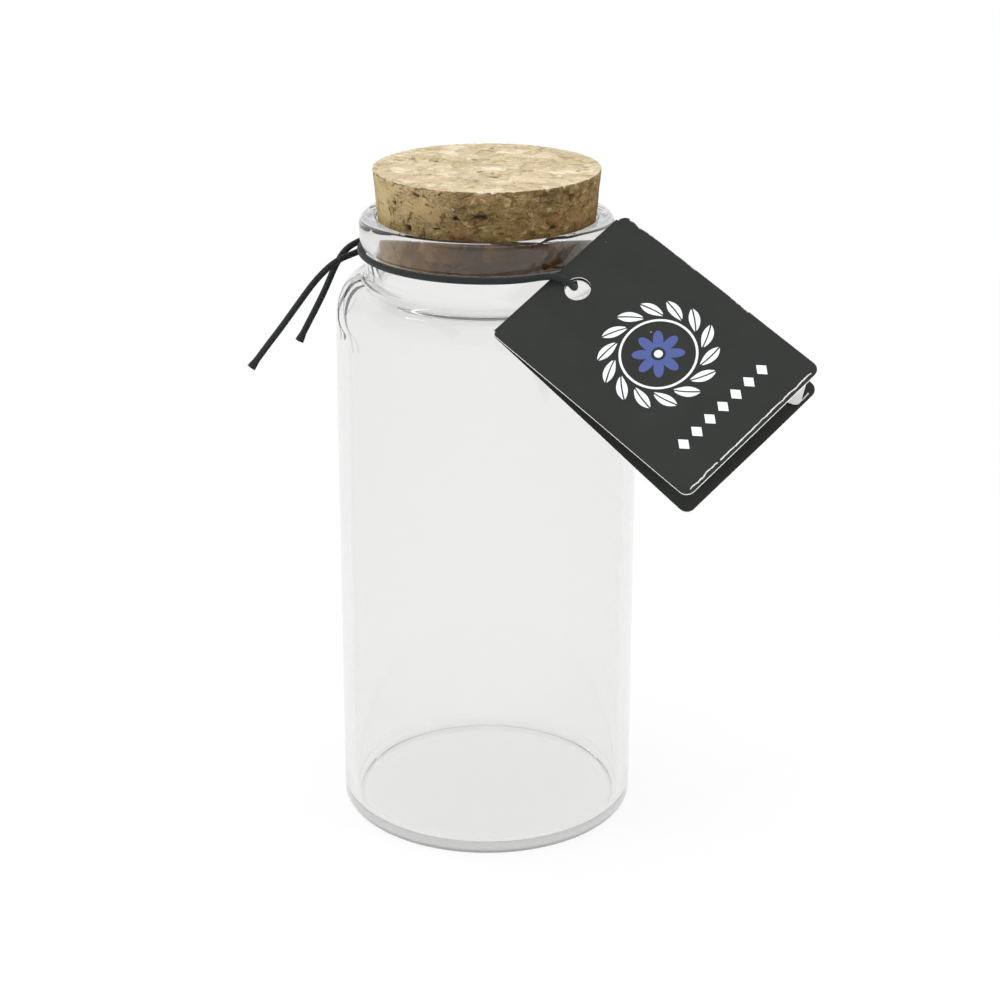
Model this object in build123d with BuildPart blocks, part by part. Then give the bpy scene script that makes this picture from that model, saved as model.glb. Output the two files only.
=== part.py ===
"""Glass jar with a cork stopper and a folded card tag tied round its neck."""
import os
from math import asin, cos, degrees, pi, radians, sin, tan

from build123d import *

# Glass jar
body_diameter = 60.0
jar_height = 125.5
wall = 2.4
floor_thickness = 2.0
floor_crown = 0.6
floor_corner_radius = 2.2
base_edge_radius = 2.2
shoulder_width = 6.0
neck_height = 6.3
shoulder_drop = 8.0
neck_fillet = 1.3
throat_fillet = 1.2
lip_overhang = 1.1
lip_height = 6.3
lip_under_height = 2.4
lip_top_radius = 1.7
mouth_edge_radius = 0.8

# Cork stopper
stopper_taper = 4.957
stopper_height = 16.5
stopper_proud = 9.0
stopper_edge_radius = 0.35
stopper_clearance = 0.15

# Elastic cord: its size, where it leaves the neck, its knot and its melted ends
cord_diameter = 1.3
cord_clearance = 0.25
cord_drop = 0.6
loop_start_angle = -83.0
loop_end_angle = -21.7
loop_lead = 3.0
melted_end_diameter = 1.8
melted_end_length = 1.8
knot_angle = 138.0
knot_turn_radius = 1.05
knot_core_radius = 1.2
knot_spread = 0.6
knot_drop = 0.6
knot_twist = 58.0

# Folded card tag: its size, and how its fold lies beside the lip
tag_width = 35.0
tag_length = 50.0
card_thickness = 0.4
leaf_gap = 0.2
tag_corner_radius = 1.8
tag_hole_diameter = 5.0
tag_hole_offset = 5.0
leaf_opening = 9.2
crease_gap = 0.12
fold_stand_off = 1.45
fold_rise = 0.1
fold_angle = -59.2
tag_heading = -40.5
tag_slope = 25.2
tag_lean = 36.8

body_radius = body_diameter / 2
inner_radius = body_radius - wall
neck_radius = body_radius - shoulder_width
bore_radius = neck_radius - wall
lip_radius = neck_radius + lip_overhang
lip_bottom = jar_height - lip_height
shoulder_height = lip_bottom - neck_height
cord_radius = cord_diameter / 2
loop_radius = neck_radius + cord_clearance + cord_radius
loop_height = lip_bottom - cord_drop
run_share = 0.45


def arc_radii(points):
    """The largest arc that the two runs at each corner of a cord's route leave room for."""
    radii = []
    for before, here, after in zip(points, points[1:], points[2:]):
        run_in = Vector(*here) - Vector(*before)
        run_out = Vector(*after) - Vector(*here)
        half_turn = radians(run_in.get_angle(run_out) / 2)
        radii.append(run_share * min(run_in.length, run_out.length) / tan(half_turn))
    return radii


def polar_point(radius, angle, height):
    """A point at an angle round the jar's axis."""
    return Vector(radius * cos(radians(angle)), radius * sin(radians(angle)), height)


def cord_stretch(name, route, melted=False):
    """A stretch of cord along straight runs joined by arcs, with a flared tip where it was cut hot."""
    radii = arc_radii(route)
    with BuildPart() as stretch:
        with BuildLine() as centre_line:
            FilletPolyline(*route, radius=radii)
        path = centre_line.wires()[0]
        with BuildSketch(Plane(origin=path @ 0, z_dir=path % 0)):
            Circle(cord_radius)
        sweep(path=path)
        swept_volume = stretch.part.volume
        if melted:
            tip_plane = Plane(origin=path @ 1, z_dir=-(path % 1))
            with BuildSketch(tip_plane) as tip_face:
                Circle(melted_end_diameter / 2)
            with BuildSketch(tip_plane.offset(melted_end_length)) as tip_throat:
                Circle(cord_radius)
            loft(sections=[tip_face.sketch, tip_throat.sketch])
    print(name, "length", round(path.length, 2), "volume", round(swept_volume, 2),
          "section times length", round(pi * cord_radius**2 * path.length, 2),
          "radii", [round(radius, 1) for radius in radii])
    return stretch


# Glass jar: one wall between its outer and inner outlines, turned about the axis
shoulder_reach = shoulder_width - neck_fillet
inner_shoulder_height = shoulder_height - wall
inner_shoulder_drop = shoulder_drop - wall / 2
floor_flat_radius = inner_radius - floor_corner_radius
floor_corner_height = floor_thickness + floor_corner_radius
crown_height = floor_thickness + floor_crown
crown_radius = (floor_flat_radius**2 + floor_crown**2) / (2 * floor_crown)
crown_angle = degrees(asin(floor_flat_radius / crown_radius))
with BuildPart() as glass_jar:
    with BuildSketch(Plane.XZ) as glass_section:
        with BuildLine():
            Line((0, 0), (body_radius - base_edge_radius, 0))
            CenterArc((body_radius - base_edge_radius, base_edge_radius), base_edge_radius, -90, 90)
            Line((body_radius, base_edge_radius), (body_radius, shoulder_height - shoulder_drop))
            EllipticalCenterArc((body_radius - shoulder_reach, shoulder_height - shoulder_drop),
                                shoulder_reach, shoulder_drop, 0, arc_size=90)
            CenterArc((neck_radius + neck_fillet, shoulder_height + neck_fillet), neck_fillet, 180, 90)
            Line((neck_radius, shoulder_height + neck_fillet), (neck_radius, lip_bottom))
            EllipticalCenterArc((neck_radius, lip_bottom + lip_under_height),
                                lip_overhang, lip_under_height, -90, arc_size=90)
            Line((lip_radius, lip_bottom + lip_under_height), (lip_radius, jar_height))
            Line((lip_radius, jar_height), (bore_radius, jar_height))
            Line((bore_radius, jar_height), (bore_radius, inner_shoulder_height))
            EllipticalCenterArc((bore_radius, inner_shoulder_height - inner_shoulder_drop),
                                inner_radius - bore_radius, inner_shoulder_drop, 0, arc_size=90)
            Line((inner_radius, inner_shoulder_height - inner_shoulder_drop),
                 (inner_radius, floor_corner_height))
            CenterArc((floor_flat_radius, floor_corner_height), floor_corner_radius, -90, 90)
            CenterArc((0, crown_height - crown_radius), crown_radius, 90 - crown_angle, crown_angle)
            Line((0, crown_height), (0, 0))
        make_face()
        corners = glass_section.vertices()
        fillet(corners.sort_by_distance((lip_radius, jar_height))[0], lip_top_radius)
        fillet(corners.sort_by_distance((bore_radius, jar_height))[0], mouth_edge_radius)
        fillet(corners.sort_by_distance((bore_radius, inner_shoulder_height))[0], throat_fillet)
    revolve(axis=Axis.Z)

# Cork stopper: a cone that meets the mouth just under the rim
stopper_top = jar_height + stopper_proud
stopper_bottom = stopper_top - stopper_height
seat_height = jar_height - mouth_edge_radius
seat_radius = bore_radius - stopper_clearance
stopper_top_radius = seat_radius + (stopper_top - seat_height) * tan(radians(stopper_taper))
stopper_bottom_radius = stopper_top_radius - stopper_height * tan(radians(stopper_taper))
with BuildPart() as cork_stopper:
    with BuildSketch(Plane.XZ) as stopper_section:
        with BuildLine():
            Polyline((0, stopper_bottom), (stopper_bottom_radius, stopper_bottom),
                     (stopper_top_radius, stopper_top), (0, stopper_top), close=True)
        make_face()
        rims = stopper_section.vertices().filter_by(lambda corner: corner.X > 0)
        fillet(rims, stopper_edge_radius)
    revolve(axis=Axis.Z)

# Tag planes: the fold is their Y axis, the leaves lie along X, and Z points out of the front leaf's face
fold_foot = polar_point(lip_radius + fold_stand_off, fold_angle, lip_bottom + fold_rise)
tag_turn = Plane.XY.rotated((tag_lean, tag_slope, tag_heading), ordering=Extrinsic.XYZ)
front_plane = Plane(origin=fold_foot, x_dir=tag_turn.x_dir, z_dir=tag_turn.z_dir)
opening_turn = radians(leaf_opening)
back_plane = Plane(origin=fold_foot,
                   x_dir=front_plane.x_dir * cos(opening_turn) - front_plane.z_dir * sin(opening_turn),
                   z_dir=front_plane.z_dir * cos(opening_turn) + front_plane.x_dir * sin(opening_turn))
spine_radius = card_thickness + leaf_gap / 2
spine_length = tag_width - 2 * tag_corner_radius

# Front leaf: a card with rounded corners and a round hole, which starts just clear of the folded spine
front_start = spine_radius + crease_gap
with BuildPart() as tag_front_leaf:
    with BuildSketch(front_plane.offset(leaf_gap / 2)) as front_outline:
        with Locations((front_start, 0)):
            Rectangle(tag_length - front_start, tag_width, align=(Align.MIN, Align.CENTER))
        fillet(front_outline.vertices(), tag_corner_radius)
        with Locations((tag_hole_offset, 0)):
            Circle(tag_hole_diameter / 2, mode=Mode.SUBTRACT)
    extrude(amount=card_thickness)

# Back leaf: the same card below it, with the folded spine as a round bead between the fold's rounded corners
with BuildPart() as tag_back_leaf:
    with BuildSketch(back_plane.offset(-leaf_gap / 2)) as back_outline:
        Rectangle(tag_length, tag_width, align=(Align.MIN, Align.CENTER))
        fillet(back_outline.vertices(), tag_corner_radius)
        with Locations((tag_hole_offset, 0)):
            Circle(tag_hole_diameter / 2, mode=Mode.SUBTRACT)
    extrude(amount=-card_thickness)
    spine_start = back_plane.from_local_coords((0, -spine_length / 2, 0))
    with BuildSketch(Plane(origin=spine_start, x_dir=back_plane.x_dir, z_dir=back_plane.y_dir)):
        Circle(spine_radius)
    extrude(amount=spine_length)

# Elastic cord held in the neck's groove, from one end of the bight round the back to the other
loop_end = polar_point(loop_radius, loop_end_angle, loop_height)
with BuildPart() as neck_cord:
    with BuildSketch(Plane(origin=loop_end, z_dir=polar_point(1, loop_end_angle + 90, 0))):
        Circle(cord_radius)
    revolve(axis=Axis.Z, revolution_arc=360 + loop_start_angle - loop_end_angle)

# The tag's loop: off the neck, over the fold, down through both holes and back to the neck
lead_in = polar_point(1, loop_start_angle + 90, 0) * loop_lead
lead_out = polar_point(1, loop_end_angle + 90, 0) * loop_lead
loop_start = polar_point(loop_radius, loop_start_angle, loop_height)
over_the_tag = [(-0.1, -1.4, 1.45), (3.8, -0.3, 1.55), (5.3, 0.5, -2.6), (3.6, 5.8, -5.9)]
tag_loop_route = [loop_start, loop_start + lead_in,
                  *[front_plane.from_local_coords(point) for point in over_the_tag],
                  loop_end - lead_out, loop_end]
tag_loop = cord_stretch("tag_loop", tag_loop_route)

# The knot behind the neck: two turns of the cord, crossed round the loop, with the strands inside as a core
knot_radius = neck_radius + cord_clearance + knot_turn_radius + cord_radius + knot_spread / 2
knot_centre = polar_point(knot_radius, knot_angle, loop_height - knot_drop)
knot_plane = Plane(origin=knot_centre, x_dir=polar_point(1, knot_angle, 0), z_dir=(0, 0, 1))
with BuildPart(knot_plane) as cord_knot:
    for side in (-1, 1):
        with Locations(Location((side * knot_spread / 2, 0, 0), (90 + side * knot_twist / 2, 0, 0))):
            Torus(knot_turn_radius, cord_radius)
    Sphere(knot_core_radius)

# The two loose ends of the cord, from the knot to their melted tips
long_tail_route = [(-20.1, 16.9, 117.1), (-22.5, 12.6, 115.8), (-26.1, 8.4, 115.3), (-30.2, 4.8, 114.5),
                   (-34.0, 2.4, 111.3), (-37.4, 0.8, 106.9), (-40.9, -0.4, 102.2), (-44.4, -1.3, 97.8),
                   (-47.0, -2.0, 94.3)]
short_tail_route = [(-19.9, 17.2, 118.8), (-22.1, 14.1, 118.0), (-25.2, 11.0, 117.2), (-28.3, 9.0, 116.0),
                    (-30.4, 7.6, 112.9), (-32.2, 6.5, 108.7), (-34.3, 5.6, 104.5), (-36.1, 5.0, 101.2),
                    (-37.8, 4.4, 97.9)]
long_tail = cord_stretch("long_tail", long_tail_route, melted=True)
short_tail = cord_stretch("short_tail", short_tail_route, melted=True)

os.makedirs("parts", exist_ok=True)
pieces = {"glass_jar": glass_jar, "cork_stopper": cork_stopper, "neck_cord": neck_cord, "tag_loop": tag_loop,
          "cord_knot": cord_knot, "long_tail": long_tail, "short_tail": short_tail,
          "tag_back_leaf": tag_back_leaf, "tag_front_leaf": tag_front_leaf}
for name, piece in pieces.items():
    piece.part.label = name
    export_step(piece.part, "parts/" + name + ".step")
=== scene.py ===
"""Glass jar with a cork stopper, and a folded card tag tied to its neck with elastic cord."""
from math import atan2, cos, hypot, pi, radians, sin, sqrt, tan

import bpy
from bpy.props import FloatProperty, FloatVectorProperty, IntProperty, PointerProperty
from mathutils import Euler, Matrix, Vector, noise


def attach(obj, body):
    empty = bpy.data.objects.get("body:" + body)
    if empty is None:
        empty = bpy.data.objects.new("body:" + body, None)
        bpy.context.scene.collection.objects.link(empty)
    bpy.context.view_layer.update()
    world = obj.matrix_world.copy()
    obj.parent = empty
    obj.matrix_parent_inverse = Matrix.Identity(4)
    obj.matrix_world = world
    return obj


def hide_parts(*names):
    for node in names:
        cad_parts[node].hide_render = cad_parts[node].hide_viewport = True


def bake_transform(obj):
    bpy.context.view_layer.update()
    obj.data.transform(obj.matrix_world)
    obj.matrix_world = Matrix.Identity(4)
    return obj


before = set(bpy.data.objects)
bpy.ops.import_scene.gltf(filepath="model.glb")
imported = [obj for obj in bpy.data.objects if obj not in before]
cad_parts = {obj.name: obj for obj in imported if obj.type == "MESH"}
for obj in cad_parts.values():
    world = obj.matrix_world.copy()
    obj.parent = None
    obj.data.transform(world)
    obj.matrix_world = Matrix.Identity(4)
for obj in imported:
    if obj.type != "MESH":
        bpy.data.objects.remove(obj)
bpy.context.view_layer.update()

bl_info = {
    "name": "Corked glass jar",
    "version": (1, 0, 0),
    "blender": (4, 5, 0),
    "location": "View3D > Sidebar > Jar",
    "description": "Builds a corked glass jar with a tied card tag",
    "category": "Add Mesh",
}

MM = 0.001

# Sizes shared with the solid model, in millimetres
BODY_RADIUS = 30.0
JAR_HEIGHT = 125.5
WALL = 2.4
NECK_RADIUS = 24.0
LIP_RADIUS = 25.1
LIP_HEIGHT = 6.3
LIP_BOTTOM = JAR_HEIGHT - LIP_HEIGHT
NECK_HEIGHT = 6.3
RIM_INNER_RADIUS = 0.8
CORD_DIAMETER = 1.3
CORD_RADIUS = CORD_DIAMETER / 2
LOOP_RADIUS = 24.9
LOOP_HEIGHT = LIP_BOTTOM - 0.6
LOOP_START_ANGLE = -83.0
LOOP_END_ANGLE = -21.7
KNOT_ANGLE = 138.0
KNOT_DISTANCE = 26.0
KNOT_DROP = 0.6
STOPPER_HEIGHT = 16.5
STOPPER_PROUD = 9.0
STOPPER_CLEARANCE = 0.15
TAG_WIDTH = 35.0
TAG_LENGTH = 50.0
CARD_THICKNESS = 0.4
LEAF_GAP = 0.2
LEAF_OPENING = 9.2
TAG_CORNER_RADIUS = 1.8
FOLD_CORNER_RADIUS = 0.7
HOLE_RADIUS = 2.5
HOLE_OFFSET = 5.0

# The tag's own axes: X down the leaf, Y along the fold, Z out of the front leaf's face
TAG_TURN = Euler((radians(36.8), radians(25.2), radians(-40.5)), "XYZ").to_matrix()
FOLD_FOOT = Vector((
    (LIP_RADIUS + 1.45) * cos(radians(-59.2)), (LIP_RADIUS + 1.45) * sin(radians(-59.2)), LIP_BOTTOM + 0.1))
FRONT_FRAME = Matrix.Translation(FOLD_FOOT) @ TAG_TURN.to_4x4()
BACK_FRAME = FRONT_FRAME @ Matrix.Rotation(radians(LEAF_OPENING), 4, "Y")

# Routes of the cord, in millimetres
LONG_TAIL_ROUTE = [
    (-20.1, 16.9, 117.1), (-22.5, 12.6, 115.8), (-26.1, 8.4, 115.3), (-30.2, 4.8, 114.5), (-34.0, 2.4, 111.3),
    (-37.4, 0.8, 106.9), (-40.9, -0.4, 102.2), (-44.4, -1.3, 97.8), (-47.0, -2.0, 94.3)]
SHORT_TAIL_ROUTE = [
    (-19.9, 17.2, 118.8), (-22.1, 14.1, 118.0), (-25.2, 11.0, 117.2), (-28.3, 9.0, 116.0),
    (-30.4, 7.6, 112.9), (-32.2, 6.5, 108.7), (-34.3, 5.6, 104.5), (-36.1, 5.0, 101.2), (-37.8, 4.4, 97.9)]
OVER_THE_TAG = [(-0.1, -1.4, 1.45), (3.1, -0.5, 1.75), (3.7, 0.5, -2.2), (0.3, 2.6, -3.6), (1.0, 7.4, -6.2)]

# The deepest pits of the cork: their middle, and their half width and half height, in millimetres
PITS = [
    ((-1.2, -21.9, 129.9), 1.3, 0.42), ((-5.9, -21.1, 129.3), 0.7, 0.34), ((-15.0, -15.7, 126.2), 0.8, 0.6),
    ((-13.2, -17.7, 133.0), 0.9, 0.3), ((12.5, -17.9, 126.9), 0.8, 0.3), ((-17.7, -13.1, 130.5), 0.45, 0.4),
    ((-9.4, -19.6, 127.1), 0.9, 0.25), ((-1.2, -4.1, 134.5), 0.7, 1.0), ((1.3, -8.9, 134.5), 0.9, 1.0),
    ((-10.0, 5.2, 134.5), 0.6, 0.9), ((-2.5, 6.6, 134.5), 0.5, 0.9), ((1.6, 4.8, 134.5), 0.5, 0.9),
    ((-16.9, 6.1, 134.5), 0.5, 0.9), ((17.4, -3.8, 134.5), 0.6, 0.9), ((0.9, 17.5, 134.5), 0.5, 0.9),
    ((8.4, 20.4, 130.2), 1.1, 0.5), ((-13.0, 18.1, 128.4), 0.8, 0.45), ((21.0, 7.4, 129.1), 0.9, 0.4),
    ((-21.9, 3.1, 131.2), 0.7, 0.5), ((15.2, 15.6, 127.3), 0.7, 0.35)]

# The lamps: their place, width, depth and power, and whether glass shows them
LAMPS = [
    ("top_light", (-0.15, -0.1, 1.2), 1.1, 1.1, 4.8, False),
    ("left_light", (-0.62, -0.3, 0.35), 0.35, 0.35, 2.8, False),
    ("right_light", (0.64, -0.25, 0.35), 0.35, 0.35, 2.9, False),
    ("left_strip", (-0.52, 0.2, 1.2), 0.05, 0.55, 0.8, True),
    ("right_strip", (0.52, 0.2, 1.2), 0.05, 0.55, 0.8, True)]


def clamp(value):
    """A value held between 0 and 1."""
    return min(max(value, 0.0), 1.0)


def polar(radius, angle, height):
    """A point at an angle round the jar's axis."""
    return Vector((radius * cos(radians(angle)), radius * sin(radians(angle)), height))


def math_node(operation):
    """A method for an arithmetic sign, which adds a Math node."""
    return lambda wire, other: wire.maths(operation, other)


class Wire:
    """An output of a material's node, on which arithmetic adds Math nodes."""

    def __init__(self, paint, socket):
        self.paint = paint
        self.socket = socket

    def maths(self, operation, *others):
        """A Math node on this value, and on another where its operation takes two."""
        return self.paint.add("ShaderNodeMath", {"operation": operation}, dict(enumerate((self, *others))))

    def __abs__(self):
        return self.maths("ABSOLUTE")

    def __rsub__(self, other):
        return self.paint.add("ShaderNodeMath", {"operation": "SUBTRACT"}, {0: other, 1: self})

    __add__ = __radd__ = math_node("ADD")
    __sub__ = math_node("SUBTRACT")
    __mul__ = __rmul__ = math_node("MULTIPLY")
    __truediv__ = math_node("DIVIDE")
    __gt__ = math_node("GREATER_THAN")
    __lt__ = math_node("LESS_THAN")


class Paint:
    """A material, or the world, and its nodes."""

    def __init__(self, name, owner=None):
        self.owner = owner or bpy.data.materials.new(name)
        self.owner.use_nodes = True
        self.tree = self.owner.node_tree
        self.tree.nodes.clear()

    def add(self, kind, settings=None, inputs=None, output=0):
        """A node of one kind, its settings first, then the values or wires of its sockets."""
        node = self.tree.nodes.new(kind)
        for key, value in (settings or {}).items():
            if key == "stops":
                ramp = node.color_ramp
                while len(ramp.elements) < len(value):
                    ramp.elements.new(1.0)
                for element, (place, colour) in zip(ramp.elements, value):
                    element.position = place
                    element.color = (*colour, 1.0)
            else:
                setattr(node, key, value)
        for key, value in (inputs or {}).items():
            if isinstance(value, Wire):
                self.tree.links.new(value.socket, node.inputs[key])
            else:
                node.inputs[key].default_value = value
        return Wire(self, node.outputs[output])

    def place(self):
        """Object coordinates, in metres."""
        return self.add("ShaderNodeTexCoord", output="Object")

    def mark(self, name):
        """A value that the mesh holds, as one of its attributes."""
        return self.add("ShaderNodeAttribute", {"attribute_name": name}, output="Fac")

    def split(self, vector):
        """The X, Y and Z of a vector."""
        node = self.add("ShaderNodeSeparateXYZ", None, {0: vector}).socket.node
        return [Wire(self, output) for output in node.outputs]

    def noise(self, vector, scale, detail=3.0, roughness=0.5, distortion=0.0, output=0):
        return self.add("ShaderNodeTexNoise", None, {"Vector": vector, "Scale": scale, "Detail": detail,
                        "Roughness": roughness, "Distortion": distortion}, output)

    def cells(self, vector, scale, feature="F1", output=0):
        inputs = {"Vector": vector, "Scale": scale}
        return self.add("ShaderNodeTexVoronoi", {"feature": feature}, inputs, output)

    def ramp(self, factor, stops):
        return self.add("ShaderNodeValToRGB", {"stops": stops}, {0: factor})

    def spread(self, value, low, high, to_low=0.0, to_high=1.0):
        """A value taken from one range to another, and held at its ends."""
        return self.add("ShaderNodeMapRange", {"clamp": True, "interpolation_type": "SMOOTHSTEP"},
                        {0: value, 1: low, 2: high, 3: to_low, 4: to_high})

    def mix(self, factor, first, second, blend="MIX"):
        """A mix of two colours."""
        first, second = [(*c, 1.0) if isinstance(c, tuple) and len(c) == 3 else c for c in (first, second)]
        return self.add("ShaderNodeMix", {"data_type": "RGBA", "blend_type": blend},
                        {0: factor, 6: first, 7: second}, output=2)

    def shift(self, vector, other, scale):
        """A vector moved by another, times a scale."""
        moved = self.add("ShaderNodeVectorMath", {"operation": "SCALE"}, {0: other, "Scale": scale})
        return self.add("ShaderNodeVectorMath", {"operation": "ADD"}, {0: vector, 1: moved})

    def stretch(self, vector, factors):
        return self.add("ShaderNodeVectorMath", {"operation": "MULTIPLY"}, {0: vector, 1: factors})

    def bump(self, height, distance, strength=1.0):
        inputs = {"Height": height, "Distance": distance, "Strength": strength}
        return self.add("ShaderNodeBump", None, inputs)

    def surface(self, **inputs):
        """The material's own shader, with its sockets by their names in lower case and underscores."""
        named = {key.replace("_", " ").title().replace("Ior", "IOR"): value for key, value in inputs.items()}
        return self.add("ShaderNodeBsdfPrincipled", None, named)

    def ray(self, *kinds):
        """1 on a ray that is one of these kinds, as Light Path names them."""
        wires = [self.add("ShaderNodeLightPath", output=kind) for kind in kinds]
        found = wires[0]
        for wire in wires[1:]:
            found = found.maths("MAXIMUM", wire)
        return found

    def blend(self, factor, first, second):
        """A mix of two shaders."""
        return self.add("ShaderNodeMixShader", None, {0: factor, 1: first, 2: second})

    def finish(self, shader, volume=None, kind="ShaderNodeOutputMaterial"):
        output = self.tree.nodes.new(kind)
        self.tree.links.new(shader.socket, output.inputs["Surface"])
        if volume:
            self.tree.links.new(volume.socket, output.inputs["Volume"])
        return self.owner


def rgb(red, green, blue):
    """A colour as a shader takes it, from its values on a screen, 0 to 255."""
    shares = [value / 255 for value in (red, green, blue)]
    return tuple(s / 12.92 if s <= 0.04045 else ((s + 0.055) / 1.055) ** 2.4 for s in shares)


# Materials

def glass_paint(settings):
    """Clear moulded glass, faintly wavy and tinted; light caught inside the wall is let straight out."""
    paint = Paint("clear_glass")
    place = paint.place()
    waves = paint.noise(paint.stretch(place, (1.0, 1.0, 0.6)), 95.0, detail=2.0)
    normal = paint.bump(waves, 0.0004, strength=settings.waviness)
    tint = (*settings.tint, 1.0)
    glass = paint.surface(base_color=tint, roughness=0.0, ior=settings.index, transmission_weight=1.0,
                          normal=normal)
    way_out = paint.surface(base_color=tint, roughness=0.0, ior=1.0, transmission_weight=1.0)
    caught = paint.ray("Glossy Depth") > 1.5
    clear = paint.add("ShaderNodeBsdfTransparent", None, {"Color": tint})
    shader = paint.blend(paint.ray("Is Shadow Ray"), paint.blend(caught, glass, way_out), clear)
    depth = paint.add("ShaderNodeVolumeAbsorption", None,
                      {"Color": (0.514, 0.517, 0.508, 1.0), "Density": settings.depth})
    return paint.finish(shader, volume=depth)


def cork_paint():
    """Pressed cork: chips, each with its own grain, with veins, cracks and pits, and a paler top, partly its
    own colour and partly painted light, over a side with painted shade; painted light towards the left of the
    side, and painted shade on the part in the mouth.
    """
    paint = Paint("pressed_cork")
    place = paint.place()
    flat = paint.stretch(place, (1.0, 1.0, 1.7))
    warp = paint.noise(flat, 330.0, detail=3.0, output=1)
    bent = paint.shift(flat, warp, 0.0036)
    chips_per_metre = 230.0
    chip = paint.cells(bent, chips_per_metre, output=1)
    chip_tone, chip_age, chip_lot = paint.split(chip)
    crumb_tone = paint.split(paint.cells(bent, 700.0, output=1))[0]
    turn = paint.add("ShaderNodeVectorMath", {"operation": "SCALE"}, {0: chip, "Scale": 2 * pi})
    turned_place = paint.add("ShaderNodeVectorRotate", {"rotation_type": "EULER_XYZ"},
                             {"Vector": bent, "Rotation": turn})
    grain = paint.noise(paint.stretch(turned_place, (1.0, 1.0, 0.22)), 1300.0, detail=3.0, roughness=0.6)
    cloud = paint.noise(bent, 430.0, detail=3.0, roughness=0.55)
    speckle = paint.noise(place, 2600.0, detail=2.0)
    curl = paint.noise(bent, 460.0, detail=2.0, distortion=2.4)
    veined = paint.spread(paint.noise(place, 170.0, detail=2.0), 0.44, 0.56)
    vein = paint.spread(abs(curl - 0.5), 0.008, 0.032, 1.0, 0.0) * veined
    fibre = paint.spread(abs(curl - 0.58), 0.0, 0.03, 1.0, 0.0) * veined
    fleck = paint.spread(paint.noise(bent, 640.0, detail=3.0, roughness=0.62), 0.65, 0.7)
    seam = paint.cells(bent, chips_per_metre, feature="DISTANCE_TO_EDGE")
    cracked = paint.spread(paint.noise(place, 380.0, detail=2.0), 0.5, 0.6)
    crack = paint.spread(seam, 0.02, 0.075, 1.0, 0.0) * cracked
    pit = paint.mark("pit")
    rim_chip = paint.mark("rim_chip")
    upright = paint.mark("side")
    east, _, height = paint.split(place)
    tone = (0.5 + (chip_tone - 0.5) * (0.34 - upright * 0.14) + (crumb_tone - 0.5) * 0.14
            + (grain - 0.5) * 0.7 + (cloud - 0.5) * 0.8 + (speckle - 0.5) * 0.4)
    # The side's ramp is far darker than the top's: partly the cork's own colour, the cut top paler than the
    # moulded side, and partly painted shade on the side and painted light on the top, as light falls from
    # above
    side = paint.ramp(tone, [(0.12, rgb(64, 48, 26)), (0.34, rgb(94, 75, 44)),
                             (0.5, rgb(115, 94, 59)), (0.66, rgb(134, 112, 74)),
                             (0.9, rgb(182, 160, 118))])
    side = paint.mix(paint.spread(chip_age, 0.7, 0.9) * 0.26, side, rgb(142, 98, 66))
    side = paint.mix(paint.spread(chip_lot, 0.7, 0.95) * 0.22, side, rgb(100, 92, 44))
    # Painted light: the side grows paler towards the left, where the left lamp falls, broken up by a broad
    # noise
    painted_left_light = paint.noise(place, 34.0, detail=1.0) - east * 14.0
    side = paint.mix(paint.spread(painted_left_light, 0.56, 0.86) * 0.6, side, rgb(204, 184, 138))
    top = paint.ramp(tone, [(0.12, rgb(178, 154, 114)), (0.34, rgb(206, 187, 152)),
                            (0.5, rgb(213, 196, 162)), (0.66, rgb(228, 213, 182)),
                            (0.9, rgb(246, 237, 216))])
    top = paint.mix(paint.spread(chip_age, 0.72, 0.9) * 0.3, top, rgb(218, 186, 152))
    colour = paint.mix(upright, top, side)
    colour = paint.mix(fibre * (0.3 - upright * 0.16), colour, rgb(232, 214, 174))
    colour = paint.mix(crack * (0.26 + upright * 0.54), colour, rgb(84, 64, 36))
    colour = paint.mix(vein * (0.2 + upright * 0.36), colour, rgb(88, 68, 38))
    colour = paint.mix(fleck * (0.3 + upright * 0.45), colour, rgb(66, 48, 28))
    colour = paint.mix(rim_chip * 0.6, colour, rgb(240, 230, 206))
    colour = paint.mix(pit * 0.92, colour, rgb(44, 32, 20))
    held = paint.spread(height, 0.1235, 0.1275, 1.0, 0.0)  # Painted shade on the part in the mouth, darker as if in shade under the glass lip
    # Painted light: that painted shade is lighter towards the left, where the left lamp falls, and darker in
    # broad blots
    shade = paint.mix(paint.spread(east, -0.019, -0.007), rgb(236, 220, 190), rgb(194, 170, 128))
    blot = paint.spread(paint.noise(flat, 125.0, detail=4.0, roughness=0.65), 0.46, 0.58)
    shade = paint.mix(blot * 0.6, shade, rgb(140, 116, 84))
    colour = paint.mix(held, colour, shade, blend="MULTIPLY")
    relief = grain * 0.5 + cloud * 0.4 - crack * 0.6 - vein * 0.5 - fleck * 0.6
    normal = paint.bump(relief, 0.0003, strength=0.8)
    return paint.finish(paint.surface(base_color=colour, roughness=0.95 - speckle * 0.15,
                                      specular_ior_level=0.2, normal=normal))


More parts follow.
